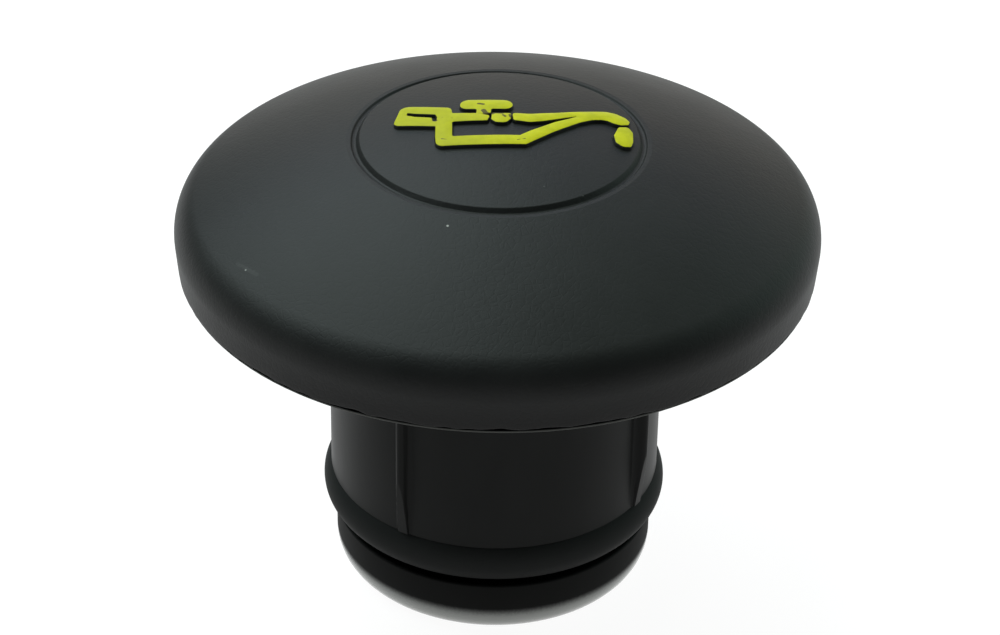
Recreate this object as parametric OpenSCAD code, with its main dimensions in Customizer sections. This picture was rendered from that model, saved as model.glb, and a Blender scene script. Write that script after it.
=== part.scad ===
// Push-in oil filler cap: a domed, grained head cover on a hollow plug with a rubber sealing ring.
// The origin is the middle of the nose's end, +Z runs up the plug's axis to the crown, and the badge
// is read from the -Y side.

/* [Head cover] */
// Widest diameter of the head
head_d = 74; // [60:0.5:90]
// Radius of the sphere that the crown is a part of
crown_r = 73.2; // [60:0.2:120]
// Radius of the shoulder between the crown and the rim
shoulder_r = 4.9; // [3:0.1:7]
// Height of the rim from its lower edge to the start of the shoulder
rim_h = 4; // [2:0.1:8]
// Inward slope of the rim towards its lower edge, in degrees
rim_draft = 5; // [0:0.5:8]
// Wall of the cover
cover_wall = 2.2; // [1.4:0.1:3]
// Rounding of the rim's lower outer edge
edge_r = 0.5; // [0.2:0.05:0.8]
// Number of stiffening ribs under the crown
cover_ribs = 8; // [4:1:12]
// Thickness of the stiffening ribs and of the locating ring
cover_rib_t = 1.5; // [1:0.1:2.5]
// Depth to which the locating ring reaches into the plug
locating_depth = 5; // [2:0.1:8]

/* [Badge] */
// Radius of the disc inside the groove ring
badge_r = 16; // [12:0.1:20]
// Depth of the groove ring
badge_groove_depth = 0.45; // [0.3:0.05:1]
// Width of the groove ring's leaning inner wall
badge_groove_wall = 0.25; // [0.1:0.05:0.6]
// Width of the groove ring's floor
badge_groove_floor = 0.15; // [0.1:0.05:1]
// Width of the groove ring's shallow outer bank
badge_groove_bank = 0.9; // [0.3:0.05:1.5]

/* [Plug body] */
// Length of the plug from the nose's end to the cover's lower edge
plug_l = 41.3; // [34:0.1:60]
// Diameter of the stem
stem_d = 39; // [34:0.1:46]
// Wall of the stem and the nose
stem_wall = 2.6; // [1.8:0.1:3.4]
// Diameter of the nose below the sealing ring
nose_d = 37.8; // [34:0.1:46]
// Height of the nose below the seal groove
nose_h = 7.6; // [6.5:0.1:12]
// Rounding of the nose
nose_round = 5.3; // [2:0.1:6.4]
// Thickness of the nose's end wall
nose_wall = 2.8; // [2:0.1:4]
// Radius of the gate well in the nose's end
gate_well_r = 3.5; // [2:0.1:6]
// Depth of the gate well
gate_well_depth = 0.6; // [0.3:0.05:1]
// Thickness of the lip that carries the cover's edge
lip_t = 0.35; // [0.2:0.05:1]
// Width of the lip's flat underside
lip_w = 3; // [2:0.1:5]
// Step by which the lip stays inside the cover's edge
lip_inset = 0.2; // [0:0.05:0.6]
// Height of the flange plate above the lip
flange_up = 2.6; // [1.6:0.1:4]
// Depth of the shallow recess under the flange
under_recess = 0.9; // [0.3:0.05:1.5]
// Fillet between the stem and the flange
foot_fillet = 1; // [0.4:0.1:2]

/* [Stem ribs] */
// Number of upright ribs on the stem
stem_ribs = 4; // [2:1:8]
// Thickness of a stem rib at its crest
stem_rib_t = 0.8; // [0.6:0.1:2]
// Draft of each flank of a stem rib, in degrees
stem_rib_draft = 10; // [0:1:15]
// Height of a stem rib's crest above the stem
stem_rib_h = 1.4; // [0.8:0.05:2.5]
// Length of the slope at a stem rib's lower end
stem_rib_slope = 7; // [3:0.1:10]
// Height of the crest that is left at the foot of the slope
stem_rib_foot = 0.5; // [0.3:0.05:0.7]
// Distance from the seal groove to a stem rib's lower end
stem_rib_gap = 0.5; // [0.5:0.1:4]
// Turn of the first stem rib from the +X axis, in degrees
stem_rib_turn = -31.5; // [-45:0.5:45]

/* [Sealing ring] */
// Height of the sealing ring
seal_h = 4.6; // [3:0.1:5]
// Radius of the ring's bulging outer face
seal_bulge_r = 2.85; // [2.55:0.05:4]
// How far the relaxed ring stands out of the stem
seal_proud = 0.88; // [0.4:0.02:1.2]
// Depth of the seal groove in the stem
seal_groove_depth = 3; // [2:0.1:3.4]
// Open gap in the groove below the ring
seal_gap = 1.25; // [0.3:0.05:2]

/* [Fits] */
// Clearance round the locating ring in the plug's bore
locating_clearance = 0.1; // [0.05:0.05:0.5]
// Clearance between the flange and the inside of the cover's rim
rim_clearance = 0.15; // [0.05:0.05:0.5]

/* [Hidden] */
$fn = 144;
cover_colour = "#33363a";
plug_colour = "#26282b";
seal_colour = "#151617";
// Overlap that joins solids of the same piece, and overshoot of a cut
bite = 0.5;

head_r = head_d / 2;
stem_r = stem_d / 2;
nose_r = nose_d / 2;

// The shoulder's arc touches the crown's sphere from inside and the rim's slope from inside
shoulder_x = head_r - shoulder_r;
shoulder_z = plug_l + rim_h;
crown_rise = sqrt(pow(crown_r - shoulder_r, 2) - pow(shoulder_x, 2));
crown_z = shoulder_z - crown_rise;
head_top = crown_z + crown_r;
crown_angle = asin(shoulder_x / (crown_r - shoulder_r));
function crown_height(r) = crown_z + sqrt(crown_r * crown_r - r * r);
function rim_x(z, inset) = shoulder_x + (shoulder_r - inset) / cos(rim_draft)
    - (shoulder_z - z) * tan(rim_draft);

// Seal groove and the ring that sits against its upper wall
groove_top = nose_h + seal_gap + seal_h;
groove_floor_r = stem_r - seal_groove_depth;
seal_z = nose_h + seal_gap + seal_h / 2;

// Bore of the plug: wide in the stem, narrower behind the seal groove
bore_r = stem_r - stem_wall;
bore_low_r = groove_floor_r - stem_wall;
bore_step_z = groove_top + stem_wall / 2;

// Lip and flange plate that close the head from below
lip_r = rim_x(plug_l, 0) - lip_inset;
lip_z = plug_l - lip_t;
flange_r = rim_x(plug_l, cover_wall) - rim_clearance;
flange_top = plug_l + flange_up;
web_z = lip_z + under_recess;
lip_round = lip_t * 0.6;

// Right half of the head's outline, moved inwards by inset, from the height low up to the crown
module head_outline(inset, low) {
    reach = 1.3 * crown_r;
    intersection() {
        union() {
            intersection() {
                translate([0, crown_z]) circle(r = crown_r - inset, $fn = 360);
                polygon([
                    [0, crown_z],
                    [reach * sin(crown_angle), crown_z + reach * cos(crown_angle)],
                    [0, crown_z + reach],
                ]);
            }
            translate([shoulder_x, shoulder_z]) circle(r = shoulder_r - inset);
            polygon([
                [0, low],
                [rim_x(low, inset), low],
                [shoulder_x + (shoulder_r - inset) * cos(rim_draft),
                 shoulder_z - (shoulder_r - inset) * sin(rim_draft)],
                [shoulder_x, shoulder_z],
                [0, shoulder_z],
            ]);
        }
        translate([0, low]) square([head_r, reach]);
    }
}

// Sharp corner left over outside a rounding of the radius r, with the corner at the origin and the
// material towards -X and +Y
module corner_waste(r) {
    difference() {
        translate([-r, -bite]) square([r + bite, r + bite]);
        translate([-r, r]) circle(r = r);
        translate([-r - bite, r]) square([r + 2 * bite, bite]);
    }
}

// Cut of the groove ring: a steep inner wall, a narrow floor and a shallow outer bank
module badge_groove_cut() {
    floor_in = badge_r + badge_groove_wall;
    floor_out = floor_in + badge_groove_floor;
    bank_out = floor_out + badge_groove_bank;
    floor_z = crown_height(badge_r) - badge_groove_depth;
    rotate_extrude() polygon([
        [badge_r, crown_height(badge_r) + bite],
        [badge_r, crown_height(badge_r)],
        [floor_in, floor_z],
        [floor_out, floor_z],
        [bank_out, crown_height(bank_out)],
        [bank_out, crown_height(badge_r) + bite],
    ]);
}

// Inside of the head below the crown's wall, as one solid of revolution
module head_inside(inset) {
    rotate_extrude() intersection() {
        head_outline(inset, plug_l);
        translate([0, flange_top]) square([head_r, head_r]);
    }
}

// Ring under the crown that centres the cover in the plug's bore, and the ribs that run out from it
module cover_stiffeners() {
    ring_r = bore_r - locating_clearance;
    difference() {
        union() {
            intersection() {
                head_inside(cover_wall - bite);
                cylinder(r = ring_r, h = head_top);
            }
            translate([0, 0, flange_top - locating_depth]) cylinder(r = ring_r, h = locating_depth);
        }
        translate([0, 0, flange_top - locating_depth - bite])
            cylinder(r = ring_r - cover_rib_t, h = head_top);
    }
    intersection() {
        head_inside(cover_wall - bite);
        for (i = [0:cover_ribs - 1]) {
            rotate([0, 0, (i + 0.5) * 360 / cover_ribs])
                translate([ring_r - cover_rib_t / 2, -cover_rib_t / 2, flange_top])
                    cube([head_r, cover_rib_t, crown_r]);
        }
    }
}

// Domed cover with its rim, groove ring and the stiffeners under it
module head_cover() {
    color(cover_colour) {
        difference() {
            rotate_extrude() difference() {
                head_outline(0, plug_l);
                difference() {
                    head_outline(cover_wall, plug_l);
                    translate([-bite, 0]) square([bite, head_top]);
                }
                translate([0, plug_l - bite]) square([rim_x(plug_l, cover_wall), 2 * bite]);
                translate([rim_x(plug_l, 0), plug_l]) corner_waste(edge_r);
            }
            badge_groove_cut();
        }
        cover_stiffeners();
    }
}

// Right half of the nose, with its lower corner rounded
module nose_section() {
    square([nose_r - nose_round, nose_h]);
    translate([0, nose_round]) square([nose_r, nose_h - nose_round]);
    intersection() {
        translate([nose_r - nose_round, nose_round]) circle(r = nose_round);
        square([nose_r, nose_h]);
    }
}

// Right half of the flange, with the lip under the cover's edge and the shallow recess beside it
module flange_section() {
    difference() {
        union() {
            translate([0, lip_z]) square([lip_r, lip_t]);
            translate([0, plug_l]) square([flange_r, flange_up]);
        }
        translate([lip_r, lip_z]) corner_waste(lip_round);
        translate([stem_r, lip_z - bite]) square([lip_r - lip_w - stem_r, under_recess + bite]);
    }
    translate([stem_r, web_z - foot_fillet]) difference() {
        square([foot_fillet, foot_fillet]);
        translate([foot_fillet, 0]) circle(r = foot_fillet);
    }
}

// Plan of a stem rib: a round crest at the origin, and flanks that widen towards -X over the depth
module stem_rib_section(depth) {
    crest_r = stem_rib_t / 2;
    touch_x = crest_r * sin(stem_rib_draft);
    touch_y = crest_r * cos(stem_rib_draft);
    foot_y = crest_r / cos(stem_rib_draft) + depth * tan(stem_rib_draft);
    circle(r = crest_r, $fn = 48);
    polygon([[touch_x, touch_y], [-depth, foot_y], [-depth, -foot_y], [touch_x, -touch_y]]);
}

// One upright rib, cut by a slope and ended square above the seal groove
module stem_rib() {
    crest_x = stem_r + stem_rib_h;
    foot_x = stem_r - stem_wall / 2;
    end_z = groove_top + stem_rib_gap;
    top_z = web_z + bite;
    slope = (stem_rib_h - stem_rib_foot) / stem_rib_slope;
    centre_x = crest_x - stem_rib_t / 2;
    intersection() {
        translate([centre_x, 0, end_z])
            linear_extrude(top_z - end_z) stem_rib_section(centre_x - foot_x);
        translate([0, stem_rib_h + stem_rib_t, 0]) rotate([90, 0, 0])
            linear_extrude(2 * (stem_rib_h + stem_rib_t)) polygon([
                [foot_x - bite, end_z - bite],
                [stem_r + stem_rib_foot - slope * bite, end_z - bite],
                [crest_x + bite, end_z + stem_rib_slope + bite / slope],
                [crest_x + bite, top_z + bite],
                [foot_x - bite, top_z + bite],
            ]);
    }
}

// Hollow plug with its rounded nose, seal groove, ribbed stem and flange; the gate well in the nose's
// end keeps the gate's stub below the face on which the cap stands
module plug_body() {
    color(plug_colour) difference() {
        union() {
            rotate_extrude() {
                nose_section();
                square([groove_floor_r, plug_l]);
                translate([0, groove_top]) square([stem_r, flange_top - groove_top]);
                flange_section();
            }
            for (i = [0:stem_ribs - 1]) {
                rotate([0, 0, stem_rib_turn + i * 360 / stem_ribs]) stem_rib();
            }
        }
        rotate_extrude() polygon([
            [0, nose_wall],
            [bore_low_r, nose_wall],
            [bore_low_r, bore_step_z],
            [bore_r, bore_step_z + bore_r - bore_low_r],
            [bore_r, flange_top + bite],
            [0, flange_top + bite],
        ]);
        difference() {
            translate([0, 0, -bite]) cylinder(r = gate_well_r, h = gate_well_depth + bite);
            cylinder(r = gate_well_r / 4, h = gate_well_depth * 2 / 3 + bite);
        }
    }
}

// Rubber ring with flat sides and a bulging outer face, stretched over the groove's floor
module sealing_ring() {
    color(seal_colour) rotate_extrude() intersection() {
        translate([groove_floor_r, seal_z - seal_h / 2]) square([seal_groove_depth + seal_proud, seal_h]);
        translate([stem_r + seal_proud - seal_bulge_r, seal_z]) circle(r = seal_bulge_r);
    }
}

head_cover();
plug_body();
sealing_ring();
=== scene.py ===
import math
import bpy
import numpy as np
from mathutils import Matrix, Vector
from mathutils.geometry import delaunay_2d_cdt


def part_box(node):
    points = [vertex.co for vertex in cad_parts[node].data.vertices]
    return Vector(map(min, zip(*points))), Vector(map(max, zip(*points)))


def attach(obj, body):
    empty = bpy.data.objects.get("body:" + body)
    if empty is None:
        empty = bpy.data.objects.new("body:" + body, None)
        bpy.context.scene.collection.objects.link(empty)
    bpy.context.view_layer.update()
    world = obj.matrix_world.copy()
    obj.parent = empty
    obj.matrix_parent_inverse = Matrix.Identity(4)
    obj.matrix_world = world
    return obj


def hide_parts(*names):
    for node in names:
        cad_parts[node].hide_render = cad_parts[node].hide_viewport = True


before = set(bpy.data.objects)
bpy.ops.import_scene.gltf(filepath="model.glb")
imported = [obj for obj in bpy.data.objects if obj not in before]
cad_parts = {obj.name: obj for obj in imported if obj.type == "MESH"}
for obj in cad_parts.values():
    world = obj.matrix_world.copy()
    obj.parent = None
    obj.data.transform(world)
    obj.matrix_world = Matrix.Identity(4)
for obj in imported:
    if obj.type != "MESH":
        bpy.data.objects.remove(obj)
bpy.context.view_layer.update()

# Camera: the photograph looks down on the cap from the side on which the badge is read, from about
# six heights away, and the picture leans by one degree.
MM = 0.001
camera_elevation = math.radians(32.1)
camera_roll = math.radians(1.0)
camera_distance = 366.4 * MM
camera_target = Vector((0.43 * MM, 0.0, 32.54 * MM))
camera_lens = 112.85

level_right = Vector((1, 0, 0))
level_up = Vector((0, math.sin(camera_elevation), math.cos(camera_elevation)))
towards_camera = Vector((0, -math.cos(camera_elevation), math.sin(camera_elevation)))
camera_right = level_right * math.cos(camera_roll) + level_up * math.sin(camera_roll)
camera_up = level_up * math.cos(camera_roll) - level_right * math.sin(camera_roll)
camera_turn = Matrix((camera_right, camera_up, towards_camera)).transposed().to_4x4()
camera = bpy.data.objects.new("camera", bpy.data.cameras.new("camera"))
camera.data.lens = camera_lens
camera.data.sensor_width = 36.0
camera.data.clip_start = 0.01
camera.matrix_world = Matrix.Translation(camera_target + towards_camera * camera_distance) @ camera_turn
bpy.context.scene.collection.objects.link(camera)
bpy.context.scene.camera = camera


# Head cover: one moulding in black plastic with a fine leather-like grain. It is a domed disc with a
# round shoulder and a short rim, and a groove ring sets off the badge. Its ragged lower edge sits on
# the lip of the plug body.
head_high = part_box("head_cover")[1]
plug_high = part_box("plug_body")[1]
head_r = head_high.x / MM
crown_top = head_high.z / MM
crown_r = 73.2
shoulder_r = 4.9
rim_draft = math.radians(5)
cover_wall = 2.2
flange_depth = 2.6
flange_top = plug_high.z / MM
seat_z = flange_top - flange_depth
shoulder_x = head_r - shoulder_r
crown_centre_z = crown_top - crown_r
crown_angle = math.asin(shoulder_x / (crown_r - shoulder_r))
shoulder_z = crown_centre_z + (crown_r - shoulder_r) * math.cos(crown_angle)
# The groove ring has a steep inner wall, and a shallow outer bank with a step halfway up: radii from
# the badge outwards, and the depth at each.
groove_r = (15.78, 16.18, 16.38, 16.6, 16.78, 17.3)
groove_depth = (0, 0.45, 0.45, 0.36, 0.11, 0)


def arc(centre, radius, start, end, count):
    """Points of a circle in the (r, z) plane, at angles measured from straight up, in radians."""
    angle = np.linspace(start, end, count)
    return np.column_stack((centre[0] + radius * np.sin(angle), centre[1] + radius * np.cos(angle)))


def rounded(corners, step, closed=False):
    """A line through corners (x, y, r), each rounded by a tangent arc of its radius r: the arc's
    centre is r / sin(a) along the corner's bisector, where a is half the corner's angle. A corner on
    a straight line stays a point. Straight stretches are cut into pieces no longer than step."""
    table = np.array(corners, float)
    point, radius = table[:, :2], table[:, 2]
    back = np.roll(point, 1, axis=0) - point
    ahead = np.roll(point, -1, axis=0) - point
    back_length = np.linalg.norm(back, axis=1)
    ahead_length = np.linalg.norm(ahead, axis=1)
    back = back / back_length[:, None]
    ahead = ahead / ahead_length[:, None]
    half = np.arccos(np.clip((back * ahead).sum(1), -1, 1)) / 2
    radius = np.where(half < np.pi / 2 - 1e-6, radius, 0)
    reach = np.minimum(back_length, ahead_length) * 0.49
    tangent = np.minimum(radius / np.tan(half), reach)
    radius = tangent * np.tan(half)
    middle = back + ahead
    middle = middle / np.maximum(np.linalg.norm(middle, axis=1), 1e-9)[:, None]
    centre = point + middle * (radius / np.sin(half))[:, None]
    start = point + back * tangent[:, None] - centre
    end = point + ahead * tangent[:, None] - centre
    first = np.arctan2(start[:, 1], start[:, 0])
    turn = np.arctan2(end[:, 1], end[:, 0]) - first
    turn = (turn + np.pi) % (2 * np.pi) - np.pi
    share = np.linspace(0, 1, 9)
    angle = first[:, None] + turn[:, None] * share
    arcs = centre[:, None] + radius[:, None, None] * np.stack((np.cos(angle), np.sin(angle)), 2)
    arcs[radius < 1e-6] = point[radius < 1e-6][:, None]
    if not closed:
        arcs[0] = point[0]
        arcs[-1] = point[-1]
    line = arcs.reshape(-1, 2)
    if closed:
        line = np.vstack((line, line[:1]))
    gap = np.linalg.norm(np.diff(line, axis=0), axis=1)
    line = line[np.concatenate(([True], gap > 1e-5))]
    gap = np.linalg.norm(np.diff(line, axis=0), axis=1)
    pieces = np.ceil(gap / step).astype(int)
    start = np.repeat(line[:-1], pieces, axis=0)
    along = np.repeat(np.diff(line, axis=0), pieces, axis=0)
    count = np.arange(pieces.sum()) - np.repeat(np.cumsum(pieces) - pieces, pieces)
    cut = start + along * (count / np.repeat(pieces, pieces))[:, None]
    return cut if closed else np.vstack((cut, line[-1:]))


def swept(line, angle):
    """Grids r[i, j] and z[i, j] of a line of points (r, z) that is carried round to every angle[j]."""
    return np.repeat(line[:, :1], len(angle), axis=1), np.repeat(line[:, 1:], len(angle), axis=1)


def surface(name, points_mm, faces, sharp_degrees=40):
    """A mesh object from points in millimetres and faces of three or four corners. Its edges look
    sharp where its faces meet at more than sharp_degrees."""
    mesh = bpy.data.meshes.new(name)
    mesh.vertices.add(len(points_mm))
    mesh.vertices.foreach_set("co", (points_mm * MM).astype(np.float32).ravel())
    sizes = np.concatenate([np.full(len(f), f.shape[1]) for f in faces])
    mesh.loops.add(int(sizes.sum()))
    mesh.loops.foreach_set("vertex_index", np.concatenate([f.ravel() for f in faces]).astype(np.int32))
    mesh.polygons.add(len(sizes))
    mesh.polygons.foreach_set("loop_start", (np.cumsum(sizes) - sizes).astype(np.int32))
    mesh.update(calc_edges=True)
    mesh.shade_smooth()
    mesh.set_sharp_from_angle(angle=math.radians(sharp_degrees))
    piece = bpy.data.objects.new(name, mesh)
    bpy.context.scene.collection.objects.link(piece)
    return piece


def turned(name, radius, height, angle, closed=False):
    """A surface of revolution: point(i, j) = (r sin a, -r cos a, z) with r = radius[i, j],
    z = height[i, j] and a = angle[j]. Angles run from the -Y side towards +X, and the rows run down
    the outside. Rows close into a ring where closed, and otherwise end in a pole on the axis."""
    rows, columns = radius.shape
    grid = np.stack((radius * np.sin(angle), -radius * np.cos(angle), height), 2).reshape(-1, 3)
    column = np.arange(columns)
    ahead = (column + 1) % columns
    row = np.arange(rows if closed else rows - 1)[:, None]
    below = (row + 1) % rows
    quads = np.stack((row * columns + column, below * columns + column,
                      below * columns + ahead, row * columns + ahead), 2).reshape(-1, 4)
    if closed:
        return surface(name, grid, [quads])
    poles = np.array([[0, 0, height[0].mean()], [0, 0, height[-1].mean()]])
    first, last = rows * columns, rows * columns + 1
    top = np.stack((np.full(columns, first), column, ahead), 1)
    end = (rows - 1) * columns
    bottom = np.stack((np.full(columns, last), end + ahead, end + column), 1)
    return surface(name, np.vstack((grid, poles)), [quads, top, bottom])


def smooth_step(low, high, value):
    """0 below low, 1 above high, 3t^2 - 2t^3 between them."""
    t = np.clip((value - low) / (high - low), 0, 1)
    return t * t * (3 - 2 * t)


def crown_height(r):
    """Height of the crown's sphere over the radius r."""
    return crown_centre_z + np.sqrt(crown_r ** 2 - r ** 2)


# The crown's rows lie close together across the groove ring.
crown_steps = np.concatenate((np.linspace(0.6, 15.4, 26), np.linspace(15.5, 17.6, 43),
                              np.linspace(18.2, crown_r * math.sin(crown_angle), 26)))
groove = np.interp(crown_steps, groove_r, groove_depth)
crown_line = np.column_stack((crown_steps, crown_height(crown_steps) - groove))
shoulder_line = arc((shoulder_x, shoulder_z), shoulder_r, crown_angle, math.pi / 2 + rim_draft, 28)[1:]
rim_foot_x = shoulder_line[-1, 0] - (shoulder_line[-1, 1] - seat_z) * math.tan(rim_draft)
inner_foot_x = rim_foot_x - cover_wall
inner_line = arc((0, crown_centre_z), crown_r - cover_wall, crown_angle, 0.01, 24)
rim_line = rounded([
    (*shoulder_line[-1], 0),
    (rim_foot_x, seat_z, 0.15),
    (inner_foot_x, seat_z, 0.1),
    (inner_foot_x + 0.3, shoulder_z, 1.5),
    (*inner_line[0], 0),
], 0.5)[1:]
head_line = np.vstack((crown_line, shoulder_line, rim_line, inner_line[1:]))
head_angle = np.linspace(0, 2 * np.pi, 480, endpoint=False)
head_radius, head_height = swept(head_line, head_angle)
# The moulding's lower edge is ragged: it stands off the lip by an uneven gap that is a sum of waves
# (height in mm, waves round the rim, turn in radians), and has small nicks (angle in degrees from the
# badge's reading side, width in degrees, height in mm).
rim_gap = 0.16
rim_gap_least = 0.06
rim_gap_most = 0.36
rim_gap_reach = 0.5
near_foot = np.exp(-((head_height - seat_z) / rim_gap_reach) ** 2) * (head_radius > inner_foot_x - 0.2)
waves = [(0.05, 7, 0.4), (0.04, 17, 2.1), (0.035, 41, 1.3), (0.03, 73, 0.2), (0.03, 97, 2.9)]
ragged = sum(size * np.sin(count * head_angle + turn) for size, count, turn in waves)
nicks = [(-24.3, 1.6, 0.16), (-15.0, 2.6, 0.1), (1.2, 0.8, 0.2), (8.6, 1.0, 0.16), (76.0, 1.2, 0.2)]
for nick_turn, nick_width, nick_height in nicks:
    aside = (np.degrees(head_angle) - nick_turn + 180) % 360 - 180
    ragged = ragged + nick_height * np.exp(-(aside / nick_width) ** 2)
head_height = head_height + near_foot * np.clip(ragged + rim_gap, rim_gap_least, rim_gap_most)
head = turned("head_shell", head_radius, head_height, head_angle)


class Socket:
    """A shader socket in an expression: + - * / with it on either side adds a Math node."""

    def __init__(self, finish, socket):
        self.finish = finish
        self.socket = socket

    def math(self, operation, *values):
        """Adds a Math node."""
        sockets = {i: v for i, v in enumerate(values)}
        return self.finish.node("ShaderNodeMath", {"operation": operation}, sockets)

    def __add__(self, other):
        return self.math("ADD", self, other)

    def __radd__(self, other):
        return self.math("ADD", other, self)

    def __sub__(self, other):
        return self.math("SUBTRACT", self, other)

    def __rsub__(self, other):
        return self.math("SUBTRACT", other, self)

    def __mul__(self, other):
        return self.math("MULTIPLY", self, other)

    def __rmul__(self, other):
        return self.math("MULTIPLY", other, self)

    def __truediv__(self, other):
        return self.math("DIVIDE", self, other)

    def step(self, low, high):
        """0 below low, 1 above high and a smooth rise between them."""
        settings = {"interpolation_type": "SMOOTHSTEP"}
        values = {"Value": self, "From Min": low, "From Max": high}
        return self.finish.node("ShaderNodeMapRange", settings, values)


class Finish:
    """One material: a Principled shader, its constants, and whatever feeds it."""

    def __init__(self, name, constants):
        self.material = bpy.data.materials.new(name)
        self.material.use_nodes = True
        self.tree = self.material.node_tree
        self.shader = self.tree.nodes["Principled BSDF"]
        for socket, value in constants.items():
            self.shader.inputs[socket].default_value = value
        self.place = self.node("ShaderNodeTexCoord", {}, {}, "Object")

    def node(self, kind, settings, sockets, out=0):
        """Adds a node: its settings first, then the values or links of its sockets."""
        made = self.tree.nodes.new(kind)
        for setting, value in settings.items():
            setattr(made, setting, value)
        for socket, value in sockets.items():
            if isinstance(value, Socket):
                self.tree.links.new(value.socket, made.inputs[socket])
            else:
                made.inputs[socket].default_value = value
        return Socket(self, made.outputs[out])

    def vector(self, operation, sockets, out="Vector"):
        """Adds a Vector Math node."""
        return self.node("ShaderNodeVectorMath", {"operation": operation}, sockets, out)

    def along(self, axis):
        """Millimetres along an axis of the row frame."""
        return self.node("ShaderNodeSeparateXYZ", {}, {0: self.place}, axis) / MM

    def noise(self, size_mm, detail=2.0, roughness=0.5, stretch=(1, 1, 1)):
        """Noise from 0 to 1 whose lumps are about size_mm across, times stretch along each axis."""
        scale = tuple(1 / (size_mm * MM * s) for s in stretch)
        place = self.vector("MULTIPLY", {0: self.place, 1: scale})
        values = {"Vector": place, "Scale": 1.0, "Detail": detail, "Roughness": roughness}
        return self.node("ShaderNodeTexNoise", {}, values)

    def cells(self, size_mm, feature="F1"):
        """Distance to the nearest cell centre, or to the nearest cell edge, in cells of size_mm."""
        values = {"Vector": self.place, "Scale": 1 / (size_mm * MM)}
        return self.node("ShaderNodeTexVoronoi", {"feature": feature}, values, "Distance")

    def distance(self, point_mm):
        """Distance in millimetres from a point of the row frame."""
        point = tuple(v * MM for v in point_mm)
        return self.vector("DISTANCE", {0: self.place, 1: point}, "Value") / MM

    def stroke(self, start_mm, end_mm, width_mm, unevenness=0.0):
        """1 on the straight line between two points and 0 further from it than the width. The nearest
        place on the line is start + t (end - start), where t is held between 0 and 1."""
        start = Vector(start_mm) * MM
        along = Vector(end_mm) * MM - start
        offset = self.vector("SUBTRACT", {0: self.place, 1: start})
        share = self.vector("DOT_PRODUCT", {0: offset, 1: along / along.length_squared}, "Value")
        held = self.node("ShaderNodeMath", {"operation": "ADD", "use_clamp": True}, {0: share, 1: 0.0})
        foot = self.vector("SCALE", {0: along, "Scale": held})
        gap = self.vector("DISTANCE", {0: offset, 1: foot}, "Value")
        return 1 - (gap / MM + unevenness).step(width_mm * 0.4, width_mm)

    def mix(self, share, colour, other):
        """The first colour where share is 0 and the other where it is 1."""
        settings = {"data_type": "RGBA"}
        return self.node("ShaderNodeMix", settings, {0: share, 6: colour, 7: other}, 2)

    def bump(self, height_mm, strength=1.0):
        """A normal bent by a height in millimetres."""
        values = {"Height": height_mm, "Distance": MM, "Strength": strength}
        return self.node("ShaderNodeBump", {}, values)

    def feed(self, **values):
        """Links values to the shader's sockets: feed(Base_Color=...) feeds Base Color."""
        for socket, value in values.items():
            self.tree.links.new(value.socket, self.shader.inputs[socket.replace("_", " ")])


grained = Finish("grained_black_plastic", {"IOR": 1.5, "Specular IOR Level": 0.16})
pebbles = grained.cells(0.55)
creases = grained.cells(0.9, "DISTANCE_TO_EDGE").step(0.0, 0.14)
grain = grained.noise(0.35, 3.0, 0.6)
cloud = grained.noise(9.0, 3.0, 0.55)
grain_height = 0.018 * creases - 0.02 * pebbles + 0.02 * grain + 0.05 * grained.noise(2.4, 2.0)
crown_black = grained.mix(
    cloud.step(0.3, 0.7), (0.0068, 0.0073, 0.0072, 1), (0.0092, 0.0097, 0.0095, 1))
# Specks of pale dust that lie on the crown: place, radius and thickness.
dust_specks = [(-5.4, -18.4, 55.64, 0.19, 1.0), (-27.3, -19.25, 50.13, 0.14, 0.8),
               (9.3, -12.8, 56.48, 0.09, 0.3), (5.0, -11.9, 57.06, 0.08, 0.25)]
dust = 0.0
for *speck, speck_r, thickness in dust_specks:
    dust = dust + thickness * (1 - grained.distance(speck).step(speck_r * 0.4, speck_r))
# The rim's colour darkens towards the lip: painted shade along the seam. A faint rubbed mark crosses the
# left of the shoulder.
lip_shade_fade = grained.along("Z").step(seat_z, seat_z + 4)
crown_black = grained.mix(lip_shade_fade, (0.002, 0.002, 0.002, 1), crown_black)
scuff = grained.stroke((-28.3, -17.9, 50.1), (-26.0, -20.4, 50.3), 0.3, 0.4 * grain - 0.2)
crown_black = grained.mix(0.25 * scuff, crown_black, (0.05, 0.052, 0.05, 1))
grained.feed(
    Base_Color=grained.mix(dust, crown_black, (0.3, 0.3, 0.28, 1)),
    Roughness=0.42 + 0.1 * cloud + 0.05 * grain,
    Normal=grained.bump(grain_height, 0.38),
)
head.data.materials.append(grained.material)
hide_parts("head_cover")
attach(head, "root")

# Raised sign: the common oil can with its handle, filler knob and drop, moulded on the crown in one
# with the cover. Its walls are black, and a yellow foil is stamped on its tops.
sign_height = 0.42
sign_swell = 0.09
sign_spread = 0.12
sign_sink = 0.12
foil_lift = 0.022
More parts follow.
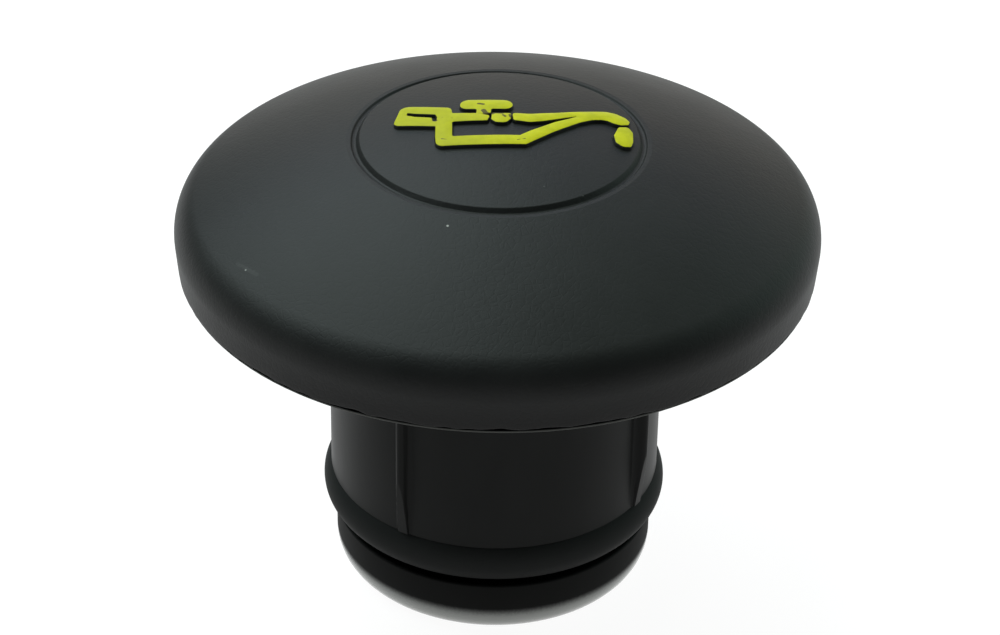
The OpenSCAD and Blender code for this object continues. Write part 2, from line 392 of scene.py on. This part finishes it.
# Outlines on the crown as seen from above: corners (x, y, rounding) in mm. The slit is a hole in the
# can's handle.
sign_loops = {
    "can": [
        (-11.15, 4.7, 1.0), (-5.5, 3.42, 0.7), (-5.32, 2.05, 0.2), (-2.6, 1.9, 0.1), (-1.1, 1.3, 0.3),
        (-1.35, 0.15, 0.3), (-5.3, 0.0, 0.3), (-5.22, -3.25, 0.3), (2.3, -3.0, 0.3), (3.4, -1.95, 3.0),
        (4.85, -0.75, 3.0), (6.25, 0.5, 3.0), (7.6, 1.45, 2.0), (8.75, 2.4, 0.02), (6.25, 1.1, 2.0),
        (4.85, 0.45, 2.0), (3.4, 0.02, 1.5), (1.55, 0.35, 0.3), (1.4, 2.05, 0.4), (3.4, 1.98, 4.0),
        (6.25, 2.7, 4.0), (8.5, 3.5, 4.0), (12.0, 4.68, 1.5), (13.15, 4.55, 1.5), (14.25, 3.88, 0.8),
        (14.72, 3.1, 0.45), (14.55, 2.3, 0.3), (13.65, 1.85, 0.6), (12.9, 1.98, 1.0), (11.9, 2.5, 1.5),
        (10.5, 2.05, 2.0), (9.05, 1.0, 3.0), (7.65, -0.35, 3.0), (6.2, -1.68, 3.0), (4.8, -3.1, 3.0),
        (3.0, -4.85, 0.5), (-1.8, -5.1, 3.0), (-7.0, -5.2, 0.9), (-7.15, -3.0, 2.0),
        (-7.15, -0.85, 0.2), (-12.0, 0.15, 0.8),
    ],
    "slit": [
        (-10.45, 3.0, 0.15), (-9.6, 2.6, 0.3), (-7.25, 1.95, 0.15), (-7.05, 1.3, 0.15), (-7.1, 0.4, 0.14),
        (-7.5, 0.3, 0.14), (-7.58, 1.2, 0.1), (-9.55, 1.8, 0.3), (-10.45, 2.3, 0.15),
    ],
    "knob": [
        (-4.5, 5.35, 1.15), (1.45, 5.3, 1.15), (1.45, 3.0, 1.0), (-0.95, 3.0, 0.3), (-1.0, 1.9, 0.15),
        (-1.7, 1.65, 0.2), (-2.65, 1.75, 0.1), (-2.6, 2.95, 0.3), (-4.5, 2.95, 1.15),
    ],
    "foot": [
        (-0.9, 1.95, 0.2), (1.3, 1.95, 0.3), (1.3, 0.7, 0.5), (0.75, -0.25, 0.6), (-0.4, -0.25, 0.6),
        (-0.95, 0.4, 0.4),
    ],
    "drop": [
        (13.35, 1.25, 0.4), (14.45, 1.72, 0.4), (15.0, 0.6, 1.0), (14.98, -1.6, 1.0), (14.7, -2.75, 0.4),
        (13.85, -3.0, 0.5), (13.0, -2.35, 0.7), (12.8, -0.85, 1.0),
    ],
}


def outward(line):
    """Unit normals of a closed line: the direction from the point before to the point after, turned a
    quarter to the right."""
    along = np.roll(line, -1, axis=0) - np.roll(line, 1, axis=0)
    along = along / np.linalg.norm(along, axis=1)[:, None]
    return np.column_stack((along[:, 1], -along[:, 0]))


def area(line):
    """Area of a closed line, half the sum of x y' - y x' over its edges: positive where it turns to
    the left."""
    x, y = line.T
    return 0.5 * np.sum(x * np.roll(y, -1) - y * np.roll(x, -1))


def left_turning(line):
    """The closed line, turned round where it runs clockwise."""
    return line if area(line) > 0 else line[::-1]


def inside(line, points):
    """True for each point that lies inside a closed line, by the parity of the edges it crosses."""
    x0, y0 = line.T
    x1, y1 = np.roll(line, -1, axis=0).T
    x, y = points[:, :1], points[:, 1:]
    spans = (y0 > y) != (y1 > y)
    rise = np.where(y1 == y0, 1, y1 - y0)
    return (spans & (x < x0 + (x1 - x0) * (y - y0) / rise)).sum(1) % 2 == 1


def within(loops, points):
    """True for each point that lies inside the first closed line and outside the others."""
    return inside(loops[0], points) & ~np.any([inside(line, points) for line in loops[1:]], axis=0)


def moved_in(loops, inset):
    """Closed lines moved sideways: each point p becomes p - n inset, where n is its outward normal."""
    return [line - outward(line) * inset for line in loops]


def linked(loops):
    """For closed lines laid end to end: the index of each point, and of the point after it."""
    sizes = np.array([len(line) for line in loops])
    index = np.arange(sizes.sum())
    first = np.repeat(np.cumsum(sizes) - sizes, sizes)
    return index, first + (index - first + 1) % np.repeat(sizes, sizes)


def filled(loops, inset):
    """A flat mesh that fills closed lines moved in by inset: a Delaunay mesh of the lines and of a
    square grid of points between them. It gives the points, the lines' own first, the triangles,
    which face up, and each point's distance from the lines."""
    spacing = 0.4
    clear = 0.22
    edges = moved_in(loops, inset)
    border = np.vstack(edges)
    low, high = loops[0].min(0), loops[0].max(0)
    x, y = np.meshgrid(np.arange(low[0], high[0], spacing), np.arange(low[1], high[1], spacing))
    grid = np.column_stack((x.ravel(), y.ravel()))
    gap = np.linalg.norm(grid[:, None] - border[None], axis=2).min(1)
    keep = within(loops, grid) & (gap > clear)
    flat = np.vstack((border, grid[keep]))
    gap = np.concatenate((np.zeros(len(border)), gap[keep]))
    pairs = np.stack(linked(edges), 1).tolist()
    triangles = delaunay_2d_cdt([Vector(p) for p in flat], pairs, [], 0, 1e-7)[2]
    triangles = np.array([t for t in triangles if len(t) == 3])
    triangles = triangles[within(edges, flat[triangles].mean(1))]
    a, b, c = (flat[triangles[:, k]] for k in range(3))
    turn = (b[:, 0] - a[:, 0]) * (c[:, 1] - a[:, 1]) - (b[:, 1] - a[:, 1]) * (c[:, 0] - a[:, 0])
    return flat, np.where(turn[:, None] > 0, triangles, triangles[:, ::-1]), gap


def relief(name, outer, holes, rows, swell):
    """A closed relief on the crown. Its top fills the outline and rises by swell away from it. Its
    walls follow the outline through rows (inset, lift): each moves the line in by inset and puts it
    lift above the crown, along the crown's normal. Its underside repeats the top below the crown."""
    swell_width = 0.9
    loops = [left_turning(outer)] + [left_turning(hole)[::-1] for hole in holes]
    flat, triangles, gap = filled(loops, rows[0][0])
    rings = [np.vstack(moved_in(loops, inset)) for inset, _ in rows[1:]]
    lifts = [rows[0][1] + swell * smooth_step(0, swell_width, gap)]
    lifts += [np.full(len(ring), lift) for ring, (_, lift) in zip(rings, rows[1:])]
    plan = np.vstack([flat, *rings])
    radius = np.linalg.norm(plan, axis=1)
    up = np.column_stack((plan / crown_r, np.sqrt(1 - (radius / crown_r) ** 2)))
    points = np.column_stack((plan, crown_height(radius))) + up * np.concatenate(lifts)[:, None]
    index, ahead = linked(loops)
    count = len(index)
    starts = np.concatenate(([0], len(flat) + count * np.arange(len(rings))))
    walls = [np.stack((upper + index, lower + index, lower + ahead, upper + ahead), 1)
             for upper, lower in zip(starts[:-1], starts[1:])]
    drop = np.array([0, 0, rows[0][1] - rows[-1][1]])
    under = np.where(triangles < count, triangles + starts[-1], triangles - count + len(points))
    points = np.vstack((points, points[count:len(flat)] - drop))
    return surface(name, points, [triangles, *walls, under[:, ::-1]], 50)


sign_rows = [(0.06, sign_height), (0.0, sign_height - 0.02), (-0.04, sign_height - 0.09),
             (-0.08, 0.05), (-sign_spread, -0.02), (-sign_spread, -sign_sink)]
foil_rows = [(0.06, sign_height + foil_lift), (0.03, sign_height + 0.01), (0.015, sign_height - 0.01)]
sign_lines = {name: rounded(loop, 0.25, closed=True) for name, loop in sign_loops.items()}
foil = Finish("yellow_foil", {"IOR": 1.5, "Specular IOR Level": 0.08})
rub = foil.noise(1.6, 4.0, 0.6)
speckle = foil.noise(0.45, 3.0, 0.7)
# Rubbed places and cracks in the foil: both ends, and width.
foil_wear = [
    ((-7.5, 1.0, 58.3), (-7.2, 0.4, 58.3), 0.3), ((-2.4, 4.12, 58.5), (-1.9, 3.95, 58.5), 0.34),
    ((-1.85, 2.45, 58.6), (-1.6, 1.85, 58.6), 0.42), ((-1.5, 1.75, 58.6), (-0.8, 1.75, 58.6), 0.3),
    ((-0.7, 1.9, 58.6), (0.3, 1.8, 58.6), 0.22), ((0.38, 1.35, 58.6), (0.6, 1.0, 58.6), 0.26),
    ((1.15, 1.5, 58.6), (1.28, 0.95, 58.6), 0.26), ((0.3, 4.3, 58.5), (0.7, 4.1, 58.5), 0.12),
    ((-6.4, -3.85, 58.3), (-5.75, -4.1, 58.3), 0.14), ((2.05, -4.15, 58.5), (2.9, -3.85, 58.5), 0.14),
    ((-6.5, 1.0, 58.35), (-5.35, 0.7, 58.45), 0.12),
]
worn = 0.0
for start, end, width in foil_wear:
    worn = worn + foil.stroke(start, end, width, 0.9 * width * (speckle - 0.5))
worn = (worn * 0.8 + 0.9 * speckle).step(0.75, 0.95)
yellow = foil.mix(rub.step(0.3, 0.7), (0.35, 0.345, 0.002, 1), (0.44, 0.425, 0.004, 1))
# The foil's colour is darkened towards the handle: painted shade against the stronger light from the
# left.
handle_side_shade = 0.6 * (1 - foil.along("X").step(-8, 4))
yellow = foil.mix(handle_side_shade, yellow, (0.31, 0.31, 0.008, 1))
foil.feed(
    Base_Color=foil.mix(worn, yellow, (0.08, 0.068, 0.014, 1)),
    Roughness=0.36 + 0.12 * rub,
    Normal=foil.bump(0.02 * foil.noise(0.8, 3.0), 0.5),
)
for part, holes in (("can", ["slit"]), ("knob", []), ("foot", []), ("drop", [])):
    hole_lines = [sign_lines[h] for h in holes]
    body = relief("sign_" + part, sign_lines[part], hole_lines, sign_rows, sign_swell)
    body.data.materials.append(grained.material)
    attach(body, "root")
    skin = relief("sign_foil_" + part, sign_lines[part], hole_lines, foil_rows, sign_swell)
    skin.data.materials.append(foil.material)
    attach(skin, "root")

# Plug body: one smooth black moulding, hollow inside. Its nose is closed and rounded, and its stem
# has four upright ribs that run out above the seal groove. The flange plate closes the head from
# below, and its thin lip shows under the cover's edge.
stem_r = 19.5
stem_wall = 2.6
nose_r = 18.9
nose_round = 5.3
nose_h = 7.6
nose_wall = 2.8
gate_r = 3.5
gate_depth = 0.6
gate_scar_r = 0.9
gate_scar_z = 0.2
seal_groove_depth = 3.0
lip_wall = 0.35
lip_width = 3
web_step = 0.9
flange_gap = 0.15
groove_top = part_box("sealing_ring")[1].z / MM
groove_floor_r = stem_r - seal_groove_depth
bore_r = stem_r - stem_wall
bore_low_r = groove_floor_r - stem_wall
bore_step_z = groove_top + stem_wall / 2
lip_r = plug_high.x / MM
lip_z = seat_z - lip_wall
web_z = lip_z + web_step
flange_r = inner_foot_x - flange_gap
stem_start_z = web_z - 2
plug_upper = rounded([
    (0.4, nose_wall, 0),
    (bore_low_r, nose_wall, 1.0),
    (bore_low_r, bore_step_z, 0.5),
    (bore_r, bore_step_z + bore_r - bore_low_r, 0.5),
    (bore_r, flange_top, 0.2),
    (flange_r, flange_top, 0.3),
    (flange_r, seat_z, 0.1),
    (lip_r, seat_z, 0.1),
    (lip_r, lip_z, 0.2),
    (lip_r - lip_width, lip_z, 0.3),
    (lip_r - lip_width, web_z, 0.3),
    (stem_r, web_z, 1.0),
    (stem_r, stem_start_z, 0),
], 5.0)
plug_lower = rounded([
    (stem_r, groove_top + 0.07, 0),
    (stem_r, groove_top, 0.05),
    (groove_floor_r, groove_top, 0.2),
    (groove_floor_r, nose_h, 0.2),
    (nose_r, nose_h, 0.3),
    (nose_r, 0, nose_round),
    (gate_r, 0, 0.15),
    (gate_r, gate_depth, 0.15),
    (gate_scar_r, gate_depth, 0.1),
    (gate_scar_r, gate_scar_z, 0.15),
    (0.2, gate_scar_z, 0),
], 2.0)
# Ribs: four at right angles. Their crests slope down to the foot, where two rows of points close
# together make each end square.
rib_turn = math.radians(58.5)
rib_height = 1.3
rib_foot = 0.35
rib_round = 0.5
rib_draft = math.radians(15)
rib_fillet = 0.6
rib_fillet_share = 0.35
rib_slope_length = 7.4
rib_end_z = groove_top + 0.1
rib_end = 0.02
rib_slope = (rib_height - rib_foot) / rib_slope_length
stem_z = np.linspace(stem_start_z, rib_end_z + rib_end, 66)[1:]
stem_z = np.append(stem_z, rib_end_z - rib_end)
stem_line = np.column_stack((np.full(len(stem_z), stem_r), stem_z))
plug_line = np.vstack((plug_upper, stem_line, plug_lower))
# Columns of points: close together across each rib, in mm from its middle, and wider apart between.
rib_across = np.concatenate((
    np.linspace(0, 0.45, 7), np.linspace(0.5, 0.8, 8), np.linspace(0.86, 1.35, 9)))
rib_columns = np.concatenate((-rib_across[:0:-1], rib_across)) / stem_r
between = np.linspace(rib_columns[-1], math.pi / 2 - rib_columns[-1], 30)[1:-1]
quarter = np.concatenate((rib_columns, between))
plug_angle = np.concatenate([quarter + rib_turn + k * math.pi / 2 for k in range(4)])
across = np.abs((plug_angle - rib_turn + math.pi / 4) % (math.pi / 2) - math.pi / 4) * stem_r
plug_radius, plug_height = swept(plug_line, plug_angle)
# A rib's section: a round crest, then flanks that widen by the draft, then a fillet, all cut by the
# slope of its lower end.
crest = rib_height - rib_round + np.sqrt(np.maximum(rib_round ** 2 - across ** 2, 0))
flank = rib_height - rib_round - (across - rib_round / math.cos(rib_draft)) / math.tan(rib_draft)
section = np.where(across < rib_round * math.cos(rib_draft), crest, flank)
fillet_end = rib_fillet + rib_round + (rib_height - rib_round) / 2 * math.tan(rib_draft)
fillet = rib_fillet - np.sqrt(rib_fillet ** 2 - np.clip(fillet_end - across, 0, rib_fillet) ** 2)
cut = np.where(plug_height > rib_end_z, rib_foot + (plug_height - rib_end_z) * rib_slope, 0)
rib = np.maximum(np.minimum(section, cut), np.minimum(fillet, rib_fillet_share * cut))
on_stem = (plug_height > groove_top) & (plug_height < web_z) & (plug_radius > bore_r + 1)
plug_radius = np.where(on_stem, np.maximum(plug_radius, stem_r + np.maximum(rib, 0)), plug_radius)
plug = turned("plug_moulding", plug_radius, plug_height, plug_angle)

smooth_black = Finish("smooth_black_plastic", {
    "IOR": 1.5, "Specular IOR Level": 0.07, "Coat Roughness": 0.1, "Coat IOR": 1.5})
flow = smooth_black.noise(6.0, 3.0, 0.5, (1, 1, 2.5))
fine = smooth_black.noise(0.3, 2.0)
height = smooth_black.along("Z")
# Pushing it home has polished the nose's lower rounding, and the rounding is painted pale grey: a painted
# reflection of the bright floor.
polish = 1 - height.step(3.2, 4.3)
bottom_floor_reflection = 1 - (height + 0.3 * fine).step(2.9, 4.4)
clean_black = smooth_black.mix(
    flow.step(0.3, 0.7), (0.0065, 0.007, 0.0067, 1), (0.0085, 0.009, 0.0087, 1))
# The nose's colour is darker than the stem's: painted shade. It is also duller.
above_nose = height.step(nose_h, nose_h + 0.8)
clean_black = smooth_black.mix(above_nose, (0.0035, 0.0039, 0.0036, 1), clean_black)
# The lip's outer edge is painted pale grey: a painted highlight, the bright floor reflected in it.
lip_highlight = height.step(lip_z - 0.1, lip_z) * (1 - height.step(seat_z - 0.12, seat_z - 0.04))
clean_black = smooth_black.mix(lip_highlight, clean_black, (0.045, 0.047, 0.043, 1))
smooth_black.feed(
    Base_Color=smooth_black.mix(bottom_floor_reflection, clean_black, (0.19, 0.2, 0.187, 1)),
    Roughness=0.34 + 0.12 * flow + 0.25 * (1 - above_nose),
    Coat_Weight=polish,
    Normal=smooth_black.bump(0.004 * fine + 0.05 * flow, 0.5),
)
plug.data.materials.append(smooth_black.material)
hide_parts("plug_body")
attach(plug, "root")

# Sealing ring: soft black rubber, moulded as a ring with flat sides and a bulging outer face. It is
# stretched over the groove's floor and rests against the groove's upper wall.
seal_low, seal_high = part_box("sealing_ring")
seal_top = seal_high.z / MM
seal_bottom = seal_low.z / MM
seal_r = seal_high.x / MM
seal_bulge = 2.85
seal_mid = (seal_top + seal_bottom) / 2
seal_reach = math.acos((seal_top - seal_mid) / seal_bulge)
seal_face = arc((seal_r - seal_bulge, seal_mid), seal_bulge, seal_reach, math.pi - seal_reach, 24)
seal_back = rounded([
    (*seal_face[-1], 0),
    (groove_floor_r, seal_bottom, 0.3),
    (groove_floor_r, seal_top, 0.3),
    (*seal_face[0], 0),
], 0.4)[1:-1]
seal_line = np.vstack((seal_face, seal_back))
seal_angle = np.linspace(0, 2 * np.pi, 360, endpoint=False)
seal_radius, seal_height = swept(seal_line, seal_angle)
seal = turned("seal_ring", seal_radius, seal_height, seal_angle, closed=True)
rubber = Finish("black_rubber", {"IOR": 1.3, "Specular IOR Level": 0.13})
bloom = rubber.noise(3.0, 3.0, 0.6)
# The colour is painted lighter on the upper half and darker on the lower half: painted light from above
# and painted shade below.
seal_light_and_shade = (rubber.along("Z") + bloom).step(seal_bottom - 0.5, seal_top + 0.5)
rubber.feed(
    Base_Color=rubber.mix(seal_light_and_shade, (0.0015, 0.0017, 0.0016, 1), (0.017, 0.0185, 0.018, 1)),
    Roughness=0.55 + 0.1 * bloom,
    Normal=rubber.bump(0.01 * rubber.noise(0.4, 3.0) + 0.015 * bloom, 0.5),
)
seal.data.materials.append(rubber.material)
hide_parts("sealing_ring")
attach(seal, "root")

# Floor and light: a plain white table, a large soft light overhead that is weaker to the right, a
# pale wall and a bluish window behind, and a white card on the right. The camera's side is dark.
floor_size = 4.0
floor_mesh = bpy.data.meshes.new("floor")
floor_mesh.from_pydata([(x * floor_size / 2, y * floor_size / 2, 0)
                        for x, y in ((-1, -1), (1, -1), (1, 1), (-1, 1))], [], [(0, 1, 2, 3)])
floor = bpy.data.objects.new("floor", floor_mesh)
bpy.context.scene.collection.objects.link(floor)
paper = Finish("white_paper", {
    "Roughness": 0.9, "Specular IOR Level": 0.2,
    "Emission Color": (1, 1, 1, 1), "Emission Strength": 0.93})
paper.feed(Base_Color=paper.mix(paper.noise(60.0), (0.12, 0.12, 0.12, 1), (0.14, 0.14, 0.14, 1)))
floor.data.materials.append(paper.material)

world = bpy.data.worlds.new("room")
world.use_nodes = True
world.node_tree.nodes["Background"].inputs["Color"].default_value = (1, 1, 1, 1)
world.node_tree.nodes["Background"].inputs["Strength"].default_value = 0.04
bpy.context.scene.world = world
bpy.context.scene.view_settings.view_transform = "Standard"


def card(name, place_mm, aim_mm, width_mm, height_mm, radiance, colour):
    """A rectangular soft light of a given radiance at a place, turned to face a point: its power is
    pi times radiance times area."""
    lamp = bpy.data.lights.new(name, "AREA")
    lamp.shape = "RECTANGLE"
    lamp.size = width_mm * MM
    lamp.size_y = height_mm * MM
    lamp.energy = math.pi * radiance * lamp.size * lamp.size_y
    lamp.color = colour
    holder = bpy.data.objects.new(name, lamp)
    place = Vector(place_mm) * MM
    turn = (place - Vector(aim_mm) * MM).to_track_quat("Z", "Y")
    holder.matrix_world = Matrix.Translation(place) @ turn.to_matrix().to_4x4()
    bpy.context.scene.collection.objects.link(holder)


card("overhead", (-400, 300, 600), (-400, 300, 0), 820, 960, 4.4, (0.86, 1.0, 0.98))
card("overhead_right", (250, 300, 600), (250, 300, 0), 400, 960, 0.85, (0.86, 1.0, 0.85))
card("back", (117, 780, 240), (0, 0, 60), 1025, 430, 0.98, (1.0, 0.93, 0.82))
card("window", (0, 860, 640), (0, 0, 60), 1300, 200, 0.9, (0.3, 0.25, 1.0))
card("right", (630, 250, 330), (0, 0, 40), 700, 600, 1.15, (0.74, 1.0, 0.92))
